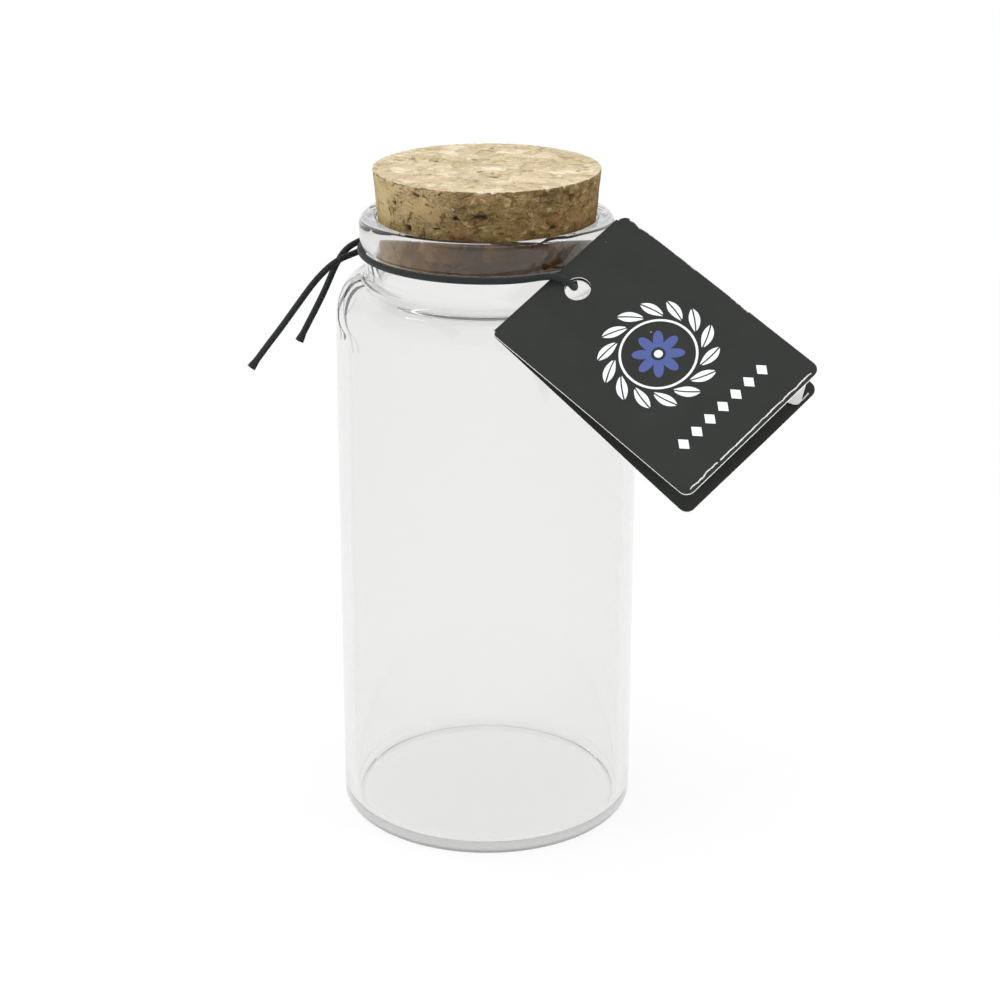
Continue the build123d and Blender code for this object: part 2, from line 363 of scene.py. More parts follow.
def braid_paint():
    """Braided elastic cord: strands that cross over and under along the cord's own length, with painted shade
    in the grooves between them and painted light on their tops.
    """
    paint = Paint("braided_elastic")
    turn, along = paint.split(paint.add("ShaderNodeUVMap", {"uv_map": "along_cord"}))[:2]
    strands = 8.0
    crossings_per_mm = 0.9
    first = turn * strands + along * crossings_per_mm
    second = turn * strands - along * crossings_per_mm
    ridges = []
    for lean in (first, second):
        part = lean.maths("FRACT") - 0.5
        ridges.append(1.0 - part * part * 4.0)
    steps = first.maths("FLOOR") + second.maths("FLOOR")
    over = abs(steps.maths("MODULO", 2.0)) > 0.5
    ridge = ridges[0] * over + ridges[1] * (1.0 - over)
    fuzz = paint.noise(paint.place(), 5200.0, detail=3.0)
    # Painted shade and painted light: the colour darkens in the grooves between strands and lightens on the
    # strand tops
    tone = ridge * 0.7 + fuzz * 0.3
    colour = paint.ramp(tone, [(0.15, rgb(10, 13, 13)), (0.9, rgb(42, 47, 46))])
    normal = paint.bump(ridge + fuzz * 0.4, 0.00009, strength=0.8)
    return paint.finish(paint.surface(base_color=colour, roughness=0.62 + fuzz * 0.2, sheen_weight=0.12,
                                      sheen_roughness=0.4, specular_ior_level=0.35, normal=normal))


def card_paint(name, printed):
    """Card printed dark on both faces, its white core bare at the cut edges and where they are scuffed."""
    paint = Paint(name)
    place = paint.place()
    down, across = paint.split(paint.add("ShaderNodeUVMap", {"uv_map": "on_card"}))[:2]
    core = paint.mark("cut_edge")
    fibres = paint.noise(place, 2600.0, detail=4.0, roughness=0.6)
    smudge = paint.noise(place, 120.0, detail=3.0)
    colour = paint.mix(smudge, rgb(42, 44, 42), rgb(52, 54, 52))
    colour = paint.mix(paint.spread(fibres, 0.62, 0.8) * 0.2, colour, rgb(74, 76, 74))
    if printed:
        colour = ornament(paint, colour, down, across)
    bare = paint.mix(fibres, rgb(214, 214, 210), rgb(240, 240, 238))
    wobble = paint.noise(place, 380.0, detail=5.0, roughness=0.7) - 0.5
    free_end = TAG_LENGTH - down
    side = TAG_WIDTH / 2 - across
    peel_inset, peel_start, peel_end = 0.78, -15.9 if printed else 12.4, 15.6
    peel = paint.spread(abs(free_end - peel_inset + wobble * 0.9), 0.08, 0.17, 1.0, 0.0)
    if printed:
        gap = 8.5
        peel = peel * paint.spread(abs(across + gap + wobble * 3.0), 0.35, 0.6)
    peel = peel * (across > peel_start) * (across < peel_end)
    rubbed = paint.spread(paint.noise(place, 230.0, detail=4.0), 0.5, 0.58)
    side_scuff = paint.spread(side + wobble * 1.2, 0.06, 0.26, 1.0, 0.0) * rubbed
    speck = paint.spread(paint.noise(place, 900.0, detail=1.0), 0.83, 0.86)
    worn = (peel + side_scuff + speck).maths("MINIMUM", 1.0)
    colour = paint.mix(worn * 0.85, colour, bare)
    colour = paint.mix(core, colour, bare)
    relief = fibres * (0.3 + core * 1.5) - worn * 0.8
    normal = paint.bump(relief, 0.00004, strength=0.5)
    return paint.finish(paint.surface(base_color=colour, roughness=0.55 + core * 0.35 + smudge * 0.08,
                                      specular_ior_level=0.15, normal=normal))


def ornament(paint, colour, down, across):
    """A wreath of white leaves round a blue rosette, and a row of white lozenges below it."""
    def within(value):
        return paint.spread(value, -0.05, 0.05, 1.0, 0.0)

    white = rgb(236, 238, 240)
    blue = rgb(80, 93, 148)
    middle, leaves, wreath_radius, lean = 26.0, 14, 9.6, radians(38)
    x = down - middle
    y = across
    radius = (x * x + y * y).maths("SQRT")
    angle = y.maths("ARCTAN2", x)
    turn = angle * (leaves / (2 * pi)) + leaves
    along = (turn.maths("FRACT") - 0.5) * radius * (2 * pi / leaves)
    out = radius - wreath_radius
    length = along * cos(lean) + out * sin(lean)
    width = out * cos(lean) - along * sin(lean)
    leaf_width, leaf_length, vein_width = 1.05, sqrt(7.3), 0.13
    leaf = (1.0 - length * length / leaf_length**2) * leaf_width - abs(width)
    vein = abs(width) - vein_width
    leaf_mask = paint.spread(leaf, -0.03, 0.05) * paint.spread(vein, -0.03, 0.05)
    ring_radius, ring_width = 7.1, 0.22
    stem = paint.spread(abs(radius - ring_radius) - ring_width, -0.04, 0.04, 1.0, 0.0)
    petals, petal_length, petal_root, eye_radius, bead_radius = 8, 2.6, 2.3, 1.35, 0.8
    reach = abs((angle * (petals / 2)).maths("COSINE")) * petal_length + petal_root
    rosette = within(radius - reach) * paint.spread(radius - eye_radius, -0.05, 0.05)
    bead = within(radius - bead_radius)
    row_place, row_reach, spacing, lozenge_width = 42.2, 12.0, 3.4, 1.15
    step = across / spacing + 20.5
    cell = (step.maths("FRACT") - 0.5) * spacing
    lozenge = lozenge_width - abs(cell) - abs(down - row_place) * 0.8
    row = paint.spread(lozenge, -0.03, 0.05) * (abs(across) < row_reach)
    colour = paint.mix((leaf_mask + stem + row).maths("MINIMUM", 1.0), colour, white)
    colour = paint.mix(rosette, colour, blue)
    return paint.mix(bead, colour, white)


def sticker_paint():
    """A bare white paper sticker."""
    paint = Paint("sticker_paper")
    fibres = paint.noise(paint.place(), 2100.0, detail=4.0)
    colour = paint.mix(fibres, rgb(226, 227, 228), rgb(244, 244, 243))
    return paint.finish(paint.surface(base_color=colour, roughness=0.6 + fibres * 0.15,
                                      normal=paint.bump(fibres, 0.00002)))


def floor_paint():
    """A pale floor that shows white, and near the jar keeps the shadow of what stands on it."""
    paint = Paint("pale_floor")
    place = paint.place()
    matt = paint.add("ShaderNodeBsdfDiffuse", None, {"Color": (0.9, 0.9, 0.9, 1.0)})
    white = paint.add("ShaderNodeEmission", None, {"Color": (1.0, 1.0, 1.0, 1.0)})
    distance = paint.add("ShaderNodeVectorMath", {"operation": "LENGTH"}, {0: place}, output=1)
    lift = paint.spread(distance, 0.05, 0.45, 0.8, 1.0)
    return paint.finish(paint.blend(paint.ray("Is Camera Ray", "Is Glossy Ray", "Is Transmission Ray") * lift,
                                    matt, white))


def studio_light(settings):
    """Even daylight; the camera sees white, and glass also a darker belt high above the white horizon."""
    paint = Paint("studio", bpy.data.worlds.new("studio"))
    rise = paint.split(paint.add("ShaderNodeTexCoord", output="Generated"))[2]
    belt = paint.spread(rise, 0.52, 0.66) * paint.spread(rise, 0.93, 0.97, 1.0, 0.0)
    belt_depth = 0.65
    daylight, room, white = [
        paint.add("ShaderNodeBackground", None, {"Color": (1.0, 1.0, 1.0, 1.0), "Strength": strength})
        for strength in (settings.daylight, 1.0 - belt * belt_depth, 1.0)]
    seen = paint.blend(paint.ray("Is Glossy Ray", "Is Transmission Ray"), daylight, room)
    return paint.finish(paint.blend(paint.ray("Is Camera Ray"), seen, white), kind="ShaderNodeOutputWorld")


# Modelling helpers

def object_mode():
    bpy.ops.object.mode_set(mode="OBJECT")


def take_all():
    """The whole mesh selected, in edit mode."""
    bpy.ops.mesh.select_all(action="SELECT")


def clear_selection():
    """Nothing selected, and object mode."""
    if bpy.context.object and bpy.context.object.mode != "OBJECT":
        object_mode()
    bpy.ops.object.select_all(action="DESELECT")


def rectangle(name, length, width, place):
    """A flat rectangle, its size and place in its mesh."""
    clear_selection()
    bpy.ops.mesh.primitive_plane_add(size=1.0, location=place)
    piece = bpy.context.object
    piece.name = name
    piece.scale = (length, width, 1)
    bpy.ops.object.transform_apply()
    return piece


def link(thing):
    bpy.context.scene.collection.objects.link(thing)


def pick(piece):
    """One piece alone selected, and active."""
    clear_selection()
    piece.select_set(True)
    bpy.context.view_layer.objects.active = piece


def edit(piece):
    """Edit mode on one piece, with nothing of it selected."""
    pick(piece)
    bpy.ops.object.mode_set(mode="EDIT")
    bpy.ops.mesh.select_all(action="DESELECT")


def choose(piece, kind, test):
    """Selects the faces, edges or vertices of a piece in edit mode that pass a test."""
    bpy.ops.mesh.select_all(action="DESELECT")
    bpy.ops.mesh.select_mode(type={"polygons": "FACE", "edges": "EDGE", "vertices": "VERT"}[kind])
    object_mode()
    for item in getattr(piece.data, kind):
        item.select = bool(test(item))
    bpy.ops.object.mode_set(mode="EDIT")


def modify(piece, kind, **settings):
    """A modifier, applied."""
    pick(piece)
    modifier = piece.modifiers.new(kind.lower(), kind)
    for key, value in settings.items():
        setattr(modifier, key, value)
    bpy.ops.object.modifier_apply(modifier=modifier.name)


def wear(piece, material):
    """The piece wears one material."""
    piece.data.materials.clear()
    piece.data.materials.append(material)


def settle(piece, matrix=None):
    """The piece's place goes into its mesh, and its faces turn outwards."""
    clear_selection()
    if matrix is not None:
        piece.data.transform(matrix)
    piece.data.transform(Matrix.Scale(MM, 4))
    edit(piece)
    take_all()
    bpy.ops.mesh.normals_make_consistent(inside=False)
    object_mode()
    clear_selection()


def arc(centre, radii, start, end, steps):
    """Points along an arc of a circle or an ellipse, without its first one."""
    angles = [radians(start + (end - start) * i / steps) for i in range(1, steps + 1)]
    return [(centre[0] + radii[0] * cos(angle), centre[1] + radii[1] * sin(angle)) for angle in angles]


def straight(start, end, steps):
    """Points along a line, without its first one."""
    return [(start[0] + (end[0] - start[0]) * i / steps, start[1] + (end[1] - start[1]) * i / steps)
            for i in range(1, steps + 1)]


def turned(name, outline, steps):
    """A shape turned about the jar's axis: one vertex drawn out along the outline, then spun."""
    piece = rectangle(name, 1, 1, (0, 0, 0))
    bpy.ops.object.mode_set(mode="EDIT")
    take_all()
    bpy.ops.mesh.merge(type="CENTER")
    start = outline[0]
    bpy.ops.transform.translate(value=(start[0], 0, start[1]))
    for here, there in zip(outline, outline[1:]):
        step = (there[0] - here[0], 0, there[1] - here[1])
        bpy.ops.mesh.extrude_vertices_move(TRANSFORM_OT_translate={"value": step})
    take_all()
    bpy.ops.mesh.spin(steps=steps, angle=2 * pi, center=(0, 0, 0), axis=(0, 0, 1))
    take_all()
    bpy.ops.mesh.remove_doubles(threshold=0.0005)
    object_mode()
    return piece


def route_points(name, route, resolution=10):
    """Points of the smooth line that has a route's points as its control points."""
    curve = bpy.data.curves.new(name, "CURVE")
    curve.dimensions = "3D"
    curve.resolution_u = resolution
    spline = curve.splines.new("NURBS")
    spline.points.add(len(route) - 1)
    for point, place in zip(spline.points, route):
        point.co = (*place, 1.0)
    spline.order_u = 3
    spline.use_endpoint_u = True
    line = bpy.data.objects.new(name, curve)
    link(line)
    mesh = bpy.data.meshes.new_from_object(line)
    points = [vertex.co.copy() for vertex in mesh.vertices]
    bpy.data.objects.remove(line)
    bpy.data.meshes.remove(mesh)
    bpy.data.curves.remove(curve)
    return points


def cord_mesh(name, points, radius_at, closed=False, sides=20):
    """A round cord along points, in millimetres, its turns and its length in its UV map."""
    count = len(points)
    tangents = []
    for i in range(count):
        before = points[i - 1] if i or closed else points[0]
        after = points[(i + 1) % count] if i < count - 1 or closed else points[-1]
        tangents.append((after - before).normalized())
    side = tangents[0].orthogonal().normalized()
    sides_of = []
    for i, tangent in enumerate(tangents):
        side = (side - tangent * side.dot(tangent)).normalized()
        sides_of.append(side.copy())
    twist = 0.0
    if closed:
        last = (sides_of[-1] - tangents[0] * sides_of[-1].dot(tangents[0])).normalized()
        twist = atan2(tangents[0].dot(last.cross(sides_of[0])), last.dot(sides_of[0]))
    lengths = [0.0]
    for here, there in zip(points, points[1:]):
        lengths.append(lengths[-1] + (there - here).length)
    verts = []
    for i, (point, tangent, side) in enumerate(zip(points, tangents, sides_of)):
        other = tangent.cross(side)
        for k in range(sides):
            angle = 2 * pi * k / sides + twist * i / count
            radius = radius_at(lengths[i], lengths[-1])
            verts.append(point + (side * cos(angle) + other * sin(angle)) * radius)
    faces = []
    uvs = []
    for i in range(count if closed else count - 1):
        j = (i + 1) % count
        end = lengths[j] if j else lengths[-1] + (points[0] - points[-1]).length
        for k in range(sides):
            m = (k + 1) % sides
            faces.append((i * sides + k, i * sides + m, j * sides + m, j * sides + k))
            left, right = k / sides, (k + 1) / sides
            uvs.append(((left, lengths[i]), (right, lengths[i]), (right, end), (left, end)))
    if not closed:
        for ring, point, height in ((0, points[0], lengths[0]), (count - 1, points[-1], lengths[-1])):
            verts.append(point)
            for k in range(sides):
                m = (k + 1) % sides
                faces.append((ring * sides + k, ring * sides + m, len(verts) - 1))
                uvs.append(((k / sides, height), ((k + 1) / sides, height), (k / sides, height)))
    mesh = bpy.data.meshes.new(name)
    mesh.from_pydata(verts, [], faces)
    layer = mesh.uv_layers.new(name="along_cord")
    for polygon, corners in zip(mesh.polygons, uvs):
        for loop, corner in zip(polygon.loop_indices, corners):
            layer.data[loop].uv = corner
    piece = bpy.data.objects.new(name, mesh)
    link(piece)
    mesh.shade_smooth()
    return piece


# Settings that a user would change

class GlassSettings(bpy.types.PropertyGroup):
    tint: FloatVectorProperty(name="Tint", description="Colour that the glass lets through", subtype="COLOR",
                              default=(0.959, 0.959, 0.955), min=0.0, max=1.0)
    index: FloatProperty(name="Refraction", description="Index of refraction of the glass", default=1.48)
    depth: FloatProperty(name="Depth", description="How much thick glass darkens", default=40.0, min=0.0)
    waviness: FloatProperty(name="Waviness", description="How uneven the moulded surface is", default=0.03,
                            subtype="FACTOR")
    steps: IntProperty(name="Steps", description="Segments round the jar", default=256)


class CorkSettings(bpy.types.PropertyGroup):
    height: FloatProperty(name="Height", description="Height of the stopper", default=STOPPER_HEIGHT * MM,
                          unit="LENGTH")
    proud: FloatProperty(name="Proud", description="How far the stopper stands out of the mouth",
                         default=STOPPER_PROUD * MM, unit="LENGTH")
    taper: FloatProperty(name="Taper", description="Slope of the stopper's side", default=radians(4.957),
                         subtype="ANGLE")
    slope: FloatProperty(name="Slope", description="How much taller the stopper is in front than behind",
                         default=0.5 * MM, unit="LENGTH")


class CordSettings(bpy.types.PropertyGroup):
    tip: FloatProperty(name="Tip", description="Width of a melted end", default=1.8 * MM, unit="LENGTH")
    flare: FloatProperty(name="Flare", description="Length of a melted end", default=1.8 * MM, unit="LENGTH")


class TagSettings(bpy.types.PropertyGroup):
    warp: FloatProperty(name="Warp", description="How far the card is out of flat", default=0.5 * MM,
                        unit="LENGTH")


class StageSettings(bpy.types.PropertyGroup):
    distance: FloatProperty(name="Distance", description="From the camera to the jar's axis, along the floor",
                            default=0.457, unit="LENGTH")
    height: FloatProperty(name="Height", description="Height of the camera", default=0.2406, unit="LENGTH")
    pitch: FloatProperty(name="Pitch", description="How far the camera looks down", default=radians(18.6),
                         subtype="ANGLE")
    daylight: FloatProperty(name="Daylight", description="Strength of the light from all round", default=0.5)


# Pieces

class JAR_OT_glass(bpy.types.Operator):
    """The glass jar, turned from its outline"""
    bl_idname = "jar.glass"
    bl_label = "Glass jar"

    def execute(self, context):
        settings = context.scene.jar_glass
        base, neck_fillet, throat = 2.2, 1.3, 1.2
        swell, rim, rim_inner = 2.4, 1.7, RIM_INNER_RADIUS
        floor, crown, drop = 2.0, 0.6, 8.0
        inner = BODY_RADIUS - WALL
        bore = NECK_RADIUS - WALL
        shoulder = LIP_BOTTOM - NECK_HEIGHT
        reach = BODY_RADIUS - NECK_RADIUS - neck_fillet
        inner_shoulder = shoulder - WALL
        inner_drop = drop - WALL / 2
        flat = inner - base
        crown_radius = (flat**2 + crown**2) / (2 * crown)
        outline = [(0.0, 0.0)]
        outline += straight((0, 0), (BODY_RADIUS - base, 0), 10)
        outline += arc((BODY_RADIUS - base, base), (base, base), -90, 0, 8)
        outline += straight((BODY_RADIUS, base), (BODY_RADIUS, shoulder - drop), 24)
        outline += arc((BODY_RADIUS - reach, shoulder - drop), (reach, drop), 0, 90, 20)
        outline += arc((NECK_RADIUS + neck_fillet, shoulder + neck_fillet), (neck_fillet, neck_fillet),
                       270, 180, 8)
        outline += straight((NECK_RADIUS, shoulder + neck_fillet), (NECK_RADIUS, LIP_BOTTOM), 4)
        outline += arc((NECK_RADIUS, LIP_BOTTOM + swell), (LIP_RADIUS - NECK_RADIUS, swell), -90, 0, 8)
        outline += straight((LIP_RADIUS, LIP_BOTTOM + swell), (LIP_RADIUS, JAR_HEIGHT - rim), 3)
        outline += arc((LIP_RADIUS - rim, JAR_HEIGHT - rim), (rim, rim), 0, 90, 8)
        outline += straight((LIP_RADIUS - rim, JAR_HEIGHT), (bore + rim_inner, JAR_HEIGHT), 2)
        outline += arc((bore + rim_inner, JAR_HEIGHT - rim_inner), (rim_inner, rim_inner), 90, 180, 6)
        outline += straight((bore, JAR_HEIGHT - rim_inner), (bore, inner_shoulder + throat), 8)
        outline += arc((bore + throat, inner_shoulder + throat * 0.4), (throat, throat * 0.6), 180, 240, 5)
        outline += arc((bore, inner_shoulder - inner_drop), (inner - bore, inner_drop), 72, 0, 18)
        outline += straight((inner, inner_shoulder - inner_drop), (inner, floor + base), 24)
        outline += arc((flat, floor + base), (base, base), 0, -90, 8)
        for i in range(1, 11):
            out = flat * (1 - i / 10)
            outline.append((out, floor + crown - crown_radius + sqrt(crown_radius**2 - out**2)))
        jar = turned("glass_jar_clear", outline, settings.steps)
        settle(jar)
        jar.data.shade_smooth()
        wear(jar, glass_paint(settings))
        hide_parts("glass_jar")
        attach(jar, "jar")
        return {"FINISHED"}


def cork_relief(place, rim_distance):
    """How deep the cork lies at a place, and how far the place is a pit or a broken rim."""
    ragged = Vector(noise.noise_vector(place * 1.1)) * 0.75
    spot = place + ragged
    spot.z *= 1.5
    wander = noise.noise(place * 0.3) * 0.05 + noise.noise(place * 1.7) * 0.03
    cells_per_mm = 0.23
    distances, seeds = noise.voronoi(spot * cells_per_mm)
    luck = (noise.cell(seeds[0] * 91.7) + 1.0) / 2
    pit = 0.0
    if luck > 0.3:
        pit = clamp((0.3 + 0.6 * luck * luck - distances[0] / cells_per_mm) / 0.28)
    for middle, half_width, half_height in PITS:
        away = place + ragged * 0.6 - Vector(middle)
        if abs(away.x) < 2.0 and abs(away.y) < 2.0 and abs(away.z) < 1.0:
            reach = hypot(hypot(away.x, away.y) / half_width, away.z / half_height)
            pit = max(pit, clamp((1.15 - reach) / 0.35))
    worn_width, pit_depth, broken_depth = 0.9, 0.5, 0.9
    broken = 0.0
    if rim_distance < worn_width:
        broken = max(noise.noise(place * 1.1 + Vector((7, 3, 1))) - 0.2, 0.0)
        broken *= 1.0 - rim_distance / worn_width
    return wander + pit * pit_depth + broken * broken_depth, pit, min(broken * 3.0, 1.0)


class JAR_OT_cork(bpy.types.Operator):
    """The cork stopper, with its chips, its pits and its worn rim"""
    bl_idname = "jar.cork"
    bl_label = "Cork stopper"

    def execute(self, context):
        settings = context.scene.jar_cork
        height = settings.height / MM
        top = JAR_HEIGHT + settings.proud / MM
        seat = JAR_HEIGHT - RIM_INNER_RADIUS
        seat_radius = NECK_RADIUS - WALL - STOPPER_CLEARANCE
        top_radius = seat_radius + (top - seat) * tan(settings.taper)
        bottom_radius = top_radius - height * tan(settings.taper)
        segments, side_cuts, edge_bevel = 480, 54, 0.12
        noise.seed_set(7)  # Without a seed noise_vector gives other values in each run
        clear_selection()
        bpy.ops.mesh.primitive_cone_add(vertices=segments, radius1=bottom_radius, radius2=top_radius,
                                        depth=height, location=(0, 0, top - height / 2))
        cork = bpy.context.object
        cork.name = "cork_stopper_pressed"
        bpy.ops.object.transform_apply()
        edit(cork)
        choose(cork, "edges", lambda e: abs(cork.data.vertices[e.vertices[0]].co.z
                                            - cork.data.vertices[e.vertices[1]].co.z) > height / 2)
        bpy.ops.mesh.subdivide(number_cuts=side_cuts)
        for level, rings, spacing in ((top, 74, 0.29), (top - height, 20, 1.0)):
            def disc(face):
                return abs(face.center.z - level) < 0.01 and len(face.vertices) > 4

            choose(cork, "polygons", disc)
            bpy.ops.mesh.bevel(offset=edge_bevel, segments=2, affect="EDGES")
            choose(cork, "polygons", disc)
            for _ in range(rings):
                bpy.ops.mesh.inset(thickness=spacing)
            bpy.ops.mesh.poke()
        take_all()
        bpy.ops.mesh.normals_make_consistent(inside=False)
        object_mode()
        mesh = cork.data
        names = ("pit", "rim_chip", "side")
        for name in names:
            mesh.attributes.new(name, "FLOAT", "POINT")
        pits, chips, uprights = (mesh.attributes[name] for name in names)
        normals = [vertex.normal.copy() for vertex in mesh.vertices]
        mouth = JAR_HEIGHT + 0.5
        for vertex, normal in zip(mesh.vertices, normals):
            place = vertex.co.copy()
            rim_distance = hypot(top_radius - hypot(place.x, place.y), (top - place.z) * 1.2)
            depth, pit, broken = cork_relief(place, rim_distance)
            if place.z < mouth:  # In the mouth nothing swells
                depth = max(depth, 0.0)
            vertex.co = place - normal * depth
            share = (place.z - top + height) / height
            vertex.co.z += settings.slope / MM * share * (1 - place.y / top_radius) / 2
            uprights.data[vertex.index].value = 1.0 if normal.z < 0.8 else 0.0
            pits.data[vertex.index].value = pit
            chips.data[vertex.index].value = broken
        settle(cork)
        cork.data.shade_smooth()
        wear(cork, cork_paint())
        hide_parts("cork_stopper")
        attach(cork, "stopper")
        return {"FINISHED"}


def card_leaf(name, low, high):
    """One leaf of the tag, flat in the tag's own axes."""
    start = 0.1
    columns, rows = 24, 16
    leaf = rectangle(name, TAG_LENGTH - start, TAG_WIDTH, ((start + TAG_LENGTH) / 2, 0, low))
    edit(leaf)
    for radius, folded in ((TAG_CORNER_RADIUS, False), (FOLD_CORNER_RADIUS, True)):
        choose(leaf, "vertices", lambda v: (v.co.x < start + 0.01 and v.co.y < 0.01 - TAG_WIDTH / 2) == folded
               and abs(v.co.y) > TAG_WIDTH / 2 - 0.01 and not start + 0.01 < v.co.x < TAG_LENGTH - 0.01)
        bpy.ops.mesh.bevel(offset=radius, offset_type="OFFSET", segments=8, affect="VERTICES")
    take_all()
    bpy.ops.mesh.extrude_region_move(TRANSFORM_OT_translate={"value": (0, 0, high - low)})
    object_mode()
    clear_selection()
    bpy.ops.mesh.primitive_cylinder_add(vertices=72, radius=HOLE_RADIUS, depth=4.0,
                                        location=(HOLE_OFFSET, 0, (low + high) / 2))
    punch = bpy.context.object
    modify(leaf, "BOOLEAN", operation="DIFFERENCE", object=punch, solver="EXACT")
    bpy.data.objects.remove(punch)
    edit(leaf)
    for i in range(1, columns):
        take_all()
        bpy.ops.mesh.bisect(plane_co=(start + (TAG_LENGTH - start) * i / columns, 0, 0), plane_no=(1, 0, 0))
    for i in range(1, rows):
        take_all()
        bpy.ops.mesh.bisect(plane_co=(0, TAG_WIDTH * (i / rows - 0.5), 0), plane_no=(0, 1, 0))
    object_mode()
    modify(leaf, "BEVEL", width=0.05, segments=2, limit_method="ANGLE", angle_limit=radians(50))
    return leaf


def mark_card(leaf, low, high):
    """The place on the card goes into a UV map, and the cut edges into an attribute."""
    mesh = leaf.data
    layer = mesh.uv_layers.new(name="on_card")
    edge = mesh.attributes.new("cut_edge", "FLOAT", "FACE")
    for polygon in mesh.polygons:
        inner = low + 0.04 < polygon.center.z < high - 0.04
        edge.data[polygon.index].value = 1.0 if abs(polygon.normal.z) < 0.75 and inner else 0.0
        for loop in polygon.loop_indices:
            place = mesh.vertices[mesh.loops[loop].vertex_index].co
            layer.data[loop].uv = (place.x, place.y)


def warp_card(leaf, strength, offset):
    """A leaf gets the gentle curl of handled card; the fold and the hole stay where they are."""
    for vertex in leaf.data.vertices:
        x, y, z = vertex.co
        hold = clamp((x - 8.0) / 20.0)
        curl = sin(x * 0.075 + offset) * 0.5 + sin(y * 0.12 + offset * 1.7) * 0.35
        curl += sin((x + y) * 0.21) * 0.15
        vertex.co.z = z + curl * strength * hold


class JAR_OT_tag(bpy.types.Operator):
    """The folded card tag: its back leaf with the fold, its front leaf and a bare sticker"""
    bl_idname = "jar.tag"
    bl_label = "Card tag"

    def execute(self, context):
        warp = context.scene.jar_tag.warp / MM
        low = LEAF_GAP / 2
        high = low + CARD_THICKNESS
        front = card_leaf("tag_front_card", low, high)
        mark_card(front, low, high)
        warp_card(front, warp * 0.6, 0.4)
        settle(front, FRONT_FRAME)
        wear(front, card_paint("printed_front_card", True))
        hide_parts("tag_front_leaf")
        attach(front, "tag_flap")
        back = card_leaf("tag_back_card", -high, -low)
        mark_card(back, -high, -low)
        warp_card(back, warp, 2.2)
        fold_radius = high - 0.01
        clear_selection()
        bpy.ops.mesh.primitive_cylinder_add(vertices=32, radius=fold_radius,
                                            depth=TAG_WIDTH - TAG_CORNER_RADIUS - FOLD_CORNER_RADIUS,
                                            location=(0, (FOLD_CORNER_RADIUS - TAG_CORNER_RADIUS) / 2, 0),
                                            rotation=(pi / 2, 0, 0))
        fold = bpy.context.object
        bpy.ops.object.transform_apply()
        mesh = fold.data
        layer = mesh.uv_layers.active
        layer.name = "on_card"
        for loop in mesh.loops:
            layer.data[loop.index].uv = (8.0, mesh.vertices[loop.vertex_index].co.y)
        edge = mesh.attributes.new("cut_edge", "FLOAT", "FACE")
        for polygon in mesh.polygons:
            edge.data[polygon.index].value = 1.0 if abs(polygon.normal.y) > 0.75 else 0.0
        pick(back)
        fold.select_set(True)
        bpy.ops.object.join()
        settle(back, BACK_FRAME)
        for card in (front, back):
            pick(card)
            bpy.ops.object.shade_smooth_by_angle(angle=radians(40))
        wear(back, card_paint("printed_back_card", False))
        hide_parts("tag_back_leaf")
        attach(back, "tag")
        self.sticker(low)
        clear_selection()
        return {"FINISHED"}

    def sticker(self, low):
        """A small bare sticker on the back leaf's inner face, near its free corner."""
        length, width, thickness = 6.0, 3.2, 0.07
        sticker = rectangle("bare_sticker", length, width, (0, 0, 0))
        edit(sticker)
        take_all()
        bpy.ops.mesh.bevel(offset=1.2, offset_type="OFFSET", segments=6, affect="VERTICES")
        take_all()
        bpy.ops.mesh.inset(thickness=0.25)
        take_all()
        bpy.ops.mesh.extrude_region_move(TRANSFORM_OT_translate={"value": (0, 0, thickness)})
        object_mode()
        place = Matrix.Translation((47.0, 14.4, -low)) @ Matrix.Rotation(radians(118), 4, "Z")
        settle(sticker, BACK_FRAME @ place)
        wear(sticker, sticker_paint())
        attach(sticker, "tag")


def knot_point(turn):
    """A point of the knot's own line, in millimetres from its middle."""
    size, thickness = 0.62, 0.72
    return Vector((size * (sin(turn) + 2 * sin(2 * turn)), size * (cos(turn) - 2 * cos(2 * turn)),
                   -thickness * sin(3 * turn)))


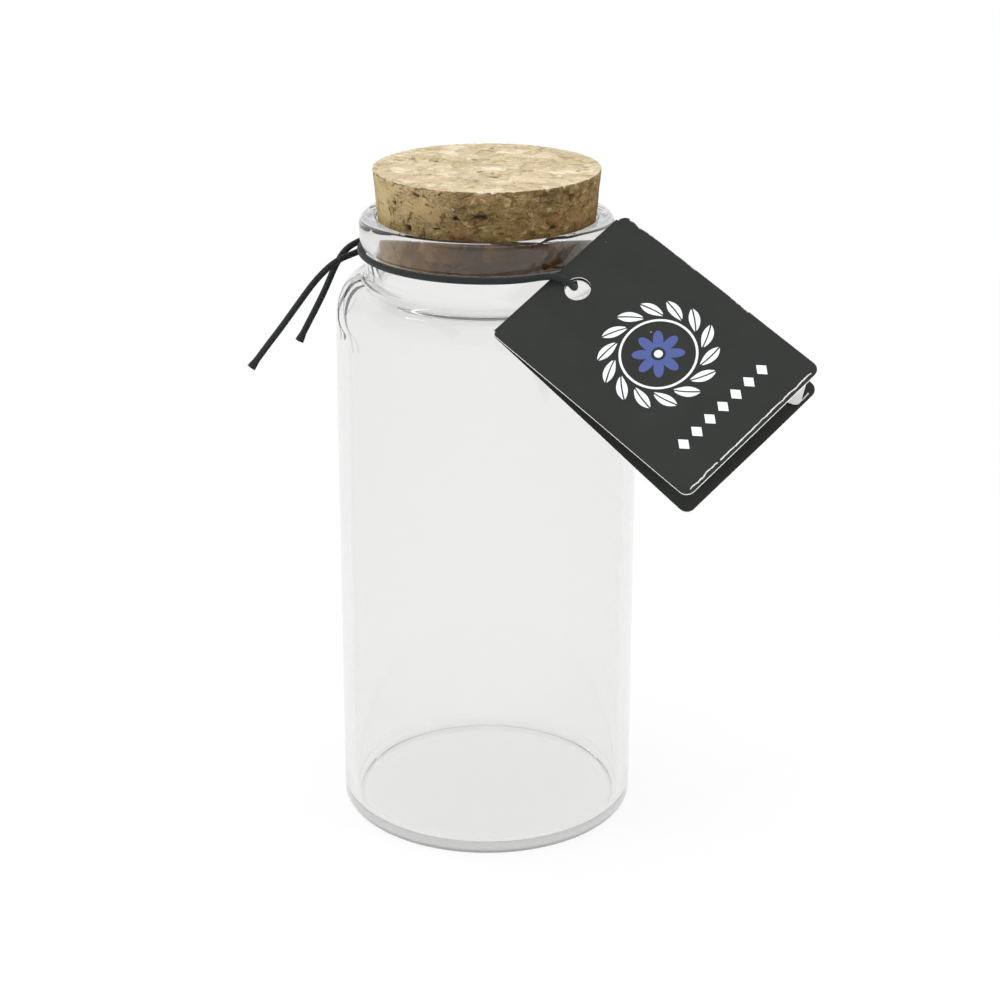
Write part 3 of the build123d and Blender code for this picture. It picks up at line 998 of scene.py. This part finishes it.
class JAR_OT_cord(bpy.types.Operator):
    """The elastic cord: its loop round the neck and through the tag, its knot and its two loose ends"""
    bl_idname = "jar.cord"
    bl_label = "Elastic cord"

    def execute(self, context):
        settings = context.scene.jar_cord
        braid = braid_paint()
        start = polar(LOOP_RADIUS, LOOP_START_ANGLE, LOOP_HEIGHT)
        end = polar(LOOP_RADIUS, LOOP_END_ANGLE, LOOP_HEIGHT)
        lead = 3.0
        lead_in = polar(lead, LOOP_START_ANGLE + 90, 0)
        lead_out = polar(lead, LOOP_END_ANGLE + 90, 0)
        over = [FRONT_FRAME @ Vector(point) for point in OVER_THE_TAG]
        bight = route_points("tag_loop_line", [start, start + lead_in, *over, end - lead_out, end])
        sweep = 360 + LOOP_START_ANGLE - LOOP_END_ANGLE
        steps = 260
        ring = [polar(LOOP_RADIUS, LOOP_END_ANGLE + sweep * i / steps, LOOP_HEIGHT) for i in range(1, steps)]
        loop = cord_mesh("tie_cord", bight + ring, lambda place, length: CORD_RADIUS, closed=True)
        settle(loop)
        wear(loop, braid)
        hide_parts("neck_cord", "tag_loop")
        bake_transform(loop)

        knot_centre = polar(KNOT_DISTANCE, KNOT_ANGLE, LOOP_HEIGHT - KNOT_DROP)
        outward = polar(1, KNOT_ANGLE, 0)
        aside = polar(1, KNOT_ANGLE + 90, 0)
        knot_turn = Matrix((aside, (0, 0, 1), outward)).transposed().to_4x4()
        knot_frame = Matrix.Translation(knot_centre) @ knot_turn
        steps = 96
        line = [knot_frame @ knot_point(2 * pi * i / steps) for i in range(steps)]
        knot = cord_mesh("cord_knot_turns", line, lambda place, length: CORD_RADIUS, closed=True, sides=16)
        settle(knot)
        wear(knot, braid)
        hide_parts("cord_knot")
        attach(knot, "tie")

        tip = settings.tip / 2 / MM
        flare = settings.flare / MM

        def tail_radius(place, length):
            left = length - place
            if left > flare:
                return CORD_RADIUS
            return CORD_RADIUS + (tip - CORD_RADIUS) * (1 - left / flare) ** 0.8

        for node, route, length in (("long_tail", LONG_TAIL_ROUTE, 0.0434),
                                    ("short_tail", SHORT_TAIL_ROUTE, 0.0331)):
            points = route_points(node + "_line", route, resolution=14)
            tail = cord_mesh(node + "_braid", points, tail_radius)
            settle(tail)
            wear(tail, braid)
            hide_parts(node)
            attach(tail, "tie")
        return {"FINISHED"}


class JAR_OT_stage(bpy.types.Operator):
    """The pale floor, the soft light and the camera"""
    bl_idname = "jar.stage"
    bl_label = "Stage"

    def execute(self, context):
        settings = context.scene.jar_stage
        floor = rectangle("floor", 8.0, 8.0, (0, 0, -0.0001))
        wear(floor, floor_paint())

        context.scene.world = studio_light(settings)

        lit_place = Vector((0, 0, 0.07))
        for name, place, width, depth, power, shows in LAMPS:
            light = bpy.data.lights.new(name, "AREA")
            light.shape = "RECTANGLE"
            light.size = width
            light.size_y = depth
            light.energy = power
            lamp = bpy.data.objects.new(name, light)
            lamp.location = place
            lamp.rotation_euler = (lit_place - Vector(place)).to_track_quat("-Z", "Y").to_euler()
            lamp.visible_glossy = shows
            lamp.visible_transmission = shows
            link(lamp)

        camera = bpy.data.cameras.new("camera")
        camera.lens = 86.26
        camera.sensor_width = 36.0
        camera.shift_x = 0.0131
        camera.shift_y = -0.1
        camera.clip_start = 0.01
        viewer = bpy.data.objects.new("camera", camera)
        viewer.location = (0, -settings.distance, settings.height)
        viewer.rotation_euler = (radians(90) - settings.pitch, 0, 0)
        link(viewer)
        context.scene.camera = viewer
        context.scene.view_settings.view_transform = "Standard"
        return {"FINISHED"}


class JAR_PT_panel(bpy.types.Panel):
    """The jar's settings and its pieces"""
    bl_idname = "JAR_PT_panel"
    bl_label = "Corked jar"
    bl_space_type = "VIEW_3D"
    bl_region_type = "UI"
    bl_category = "Jar"

    def draw(self, context):
        for group in GROUPS:
            settings = getattr(context.scene, group)
            for name in settings.__annotations__:
                self.layout.prop(settings, name)
            self.layout.operator(group.replace("_", "."))


# Each group of settings by its name on the scene; its operator has the same name, with a dot
GROUPS = {"jar_stage": StageSettings, "jar_cord": CordSettings, "jar_glass": GlassSettings,
          "jar_cork": CorkSettings, "jar_tag": TagSettings}
CLASSES = (*GROUPS.values(), JAR_OT_stage, JAR_OT_cord, JAR_OT_glass, JAR_OT_cork, JAR_OT_tag, JAR_PT_panel)


def register():
    for item in CLASSES:
        bpy.utils.register_class(item)
    for name, group in GROUPS.items():
        setattr(bpy.types.Scene, name, PointerProperty(type=group))


def unregister():
    for name in GROUPS:
        delattr(bpy.types.Scene, name)
    for item in reversed(CLASSES):
        bpy.utils.unregister_class(item)


def main():
    register()
    bpy.ops.jar.stage()
    bpy.ops.jar.cord()
    bpy.ops.jar.glass()
    bpy.ops.jar.cork()
    bpy.ops.jar.tag()


if __name__ == "__main__":
    main()
